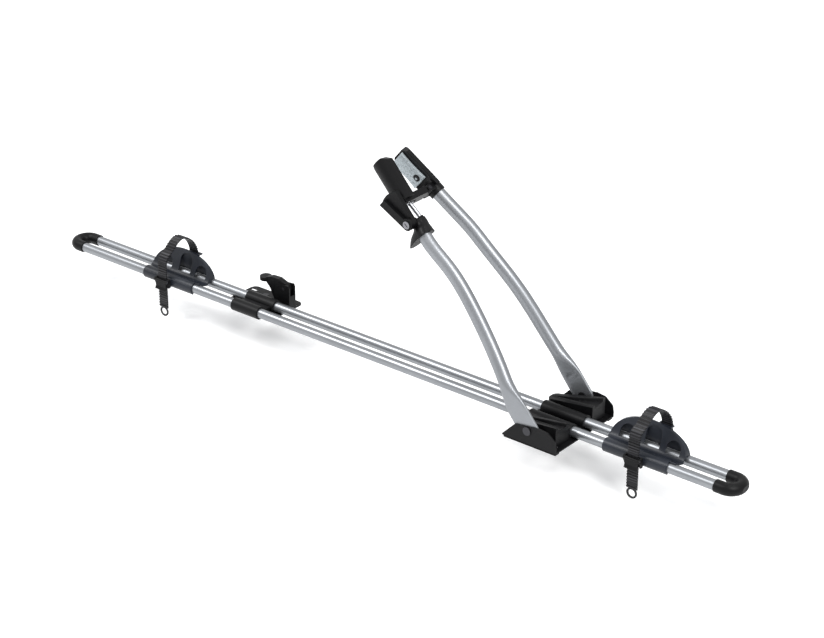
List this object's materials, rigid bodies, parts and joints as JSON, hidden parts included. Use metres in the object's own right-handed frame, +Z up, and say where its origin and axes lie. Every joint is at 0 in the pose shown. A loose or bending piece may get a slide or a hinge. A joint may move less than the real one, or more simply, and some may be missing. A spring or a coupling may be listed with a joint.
{
  "type": "roof mounted bicycle carrier",
  "caption": "Roof bar bicycle carrier: parallel rails with sliding wheel trays and straps, a folding frame holder with a lever clamp, and a roof bar bracket.",
  "frame": {"origin": "centre of the underside of the foot's steel bracket, midway between its bar bolts", "axes": "+X along the rails towards the foot's end of the carrier, +Y to the side away from the clamp lever, +Z up"},
  "size_m": [1.4967, 0.168, 0.4514],
  "materials": {
    "rail_aluminium": "satin anodised",
    "arm_aluminium": "satin anodised",
    "black_steel": "fine textured powder coat",
    "black_plastic": "fine grain",
    "blue_grey_plastic": "fine grain",
    "strap_plastic": "satin",
    "grey_rubber": "speckled",
    "black_rubber": "matt",
    "bright_steel": "zinc plated",
    "lock_chrome": "polished"
  },
  "bodies": {
    "rails": {"front_rail": "rail_aluminium", "rear_rail": "rail_aluminium", "end_cap_left": "black_plastic", "end_cap_right": "black_plastic", "foot_bracket": "black_steel", "foot_saddle": "black_plastic", "foot_gusset_front": "black_plastic", "foot_gusset_rear": "black_plastic", "foot_pad_front": "black_rubber", "foot_pad_rear": "black_rubber", "foot_screws": "bright_steel", "arm_pin_front": "bright_steel", "arm_pin_rear": "bright_steel"},
    "frame_holder": {"front_arm": "arm_aluminium", "rear_arm": "arm_aluminium", "rear_jaw": "black_plastic", "rear_jaw_pad": "grey_rubber", "rear_pad_screw": "bright_steel", "jaw_hinge_pin": "bright_steel", "lever_housing": "black_plastic", "lever_pin": "bright_steel"},
    "clamp_lever": {"clamp_lever": "black_plastic"},
    "lock": {"lock_cylinder": "lock_chrome"},
    "clamp_rod": {"clamp_rod": "bright_steel"},
    "moving_jaw": {"front_jaw": "black_plastic", "front_jaw_pad": "grey_rubber", "front_pad_screw": "bright_steel", "rod_cross_pin": "bright_steel"},
    "tray_left": {"wheel_tray_left": "blue_grey_plastic", "wheel_strap_left": "strap_plastic", "strap_anchor_left": "bright_steel", "buckle_body_left": "black_plastic", "buckle_pin_left": "bright_steel"},
    "buckle_left": {"buckle_lever_left": "black_plastic"},
    "tray_right": {"wheel_tray_right": "blue_grey_plastic", "wheel_strap_right": "strap_plastic", "strap_anchor_right": "bright_steel", "buckle_body_right": "black_plastic", "buckle_pin_right": "bright_steel"},
    "buckle_right": {"buckle_lever_right": "black_plastic"},
    "bar_bracket": {"bracket_saddle": "black_plastic", "bracket_plate": "black_steel", "bracket_pad": "black_rubber", "bracket_bolt": "bright_steel", "bracket_lever_pin": "bright_steel"},
    "bracket_lever": {"bracket_lever": "black_plastic"}
  },
  "joints": [
    {"name": "frame_holder_fold", "type": "hinge", "parent": "rails", "child": "frame_holder", "pos_m": [-0.004, 0, 0.0232], "axis": [0, 1, 0], "range_deg": [-42, 12]},
    {"name": "clamp_lever_swing", "type": "hinge", "parent": "frame_holder", "child": "clamp_lever", "pos_m": [-0.27065, -0.056, 0.30584], "axis": [0, -1, 0], "range_deg": [0, 80]},
    {"name": "lock_turn", "type": "hinge", "parent": "clamp_lever", "child": "lock", "pos_m": [-0.27065, -0.056, 0.30584], "axis": [0, -1, 0], "range_deg": [0, 90]},
    {"name": "moving_jaw_swing", "type": "hinge", "parent": "frame_holder", "child": "moving_jaw", "pos_m": [-0.29582, 0.02, 0.33189], "axis": [0.6381, 0, 0.77], "range_deg": [0, 25]},
    {"name": "clamp_rod_slide", "type": "slide", "parent": "frame_holder", "child": "clamp_rod", "axis": [0.77, 0, -0.6381], "range_m": [0, 0.02052]},
    {"name": "tray_left_slide", "type": "slide", "parent": "rails", "child": "tray_left", "axis": [1, 0, 0], "range_m": [-0.14, 0.025]},
    {"name": "buckle_left_swing", "type": "hinge", "parent": "tray_left", "child": "buckle_left", "pos_m": [-0.873, -0.04, 0.0162], "axis": [-1, 0, 0], "range_deg": [0, 35]},
    {"name": "tray_right_slide", "type": "slide", "parent": "rails", "child": "tray_right", "axis": [1, 0, 0], "range_m": [-0.035, 0.06]},
    {"name": "buckle_right_swing", "type": "hinge", "parent": "tray_right", "child": "buckle_right", "pos_m": [0.172, -0.04, 0.0162], "axis": [-1, 0, 0], "range_deg": [0, 35]},
    {"name": "bar_bracket_slide", "type": "slide", "parent": "rails", "child": "bar_bracket", "axis": [1, 0, 0], "range_m": [-0.025, 0.1]},
    {"name": "bracket_lever_swing", "type": "hinge", "parent": "bar_bracket", "child": "bracket_lever", "pos_m": [-0.641, 0.0465, 0.0402], "axis": [0, 1, 0], "range_deg": [0, 105]}
  ],
  "couplings": [
    {"joint": "moving_jaw_swing", "follows": "clamp_lever_swing", "ratio": 0.3125},
    {"joint": "clamp_rod_slide", "follows": "clamp_lever_swing", "m_per_rad": 0.014697}
  ]
}
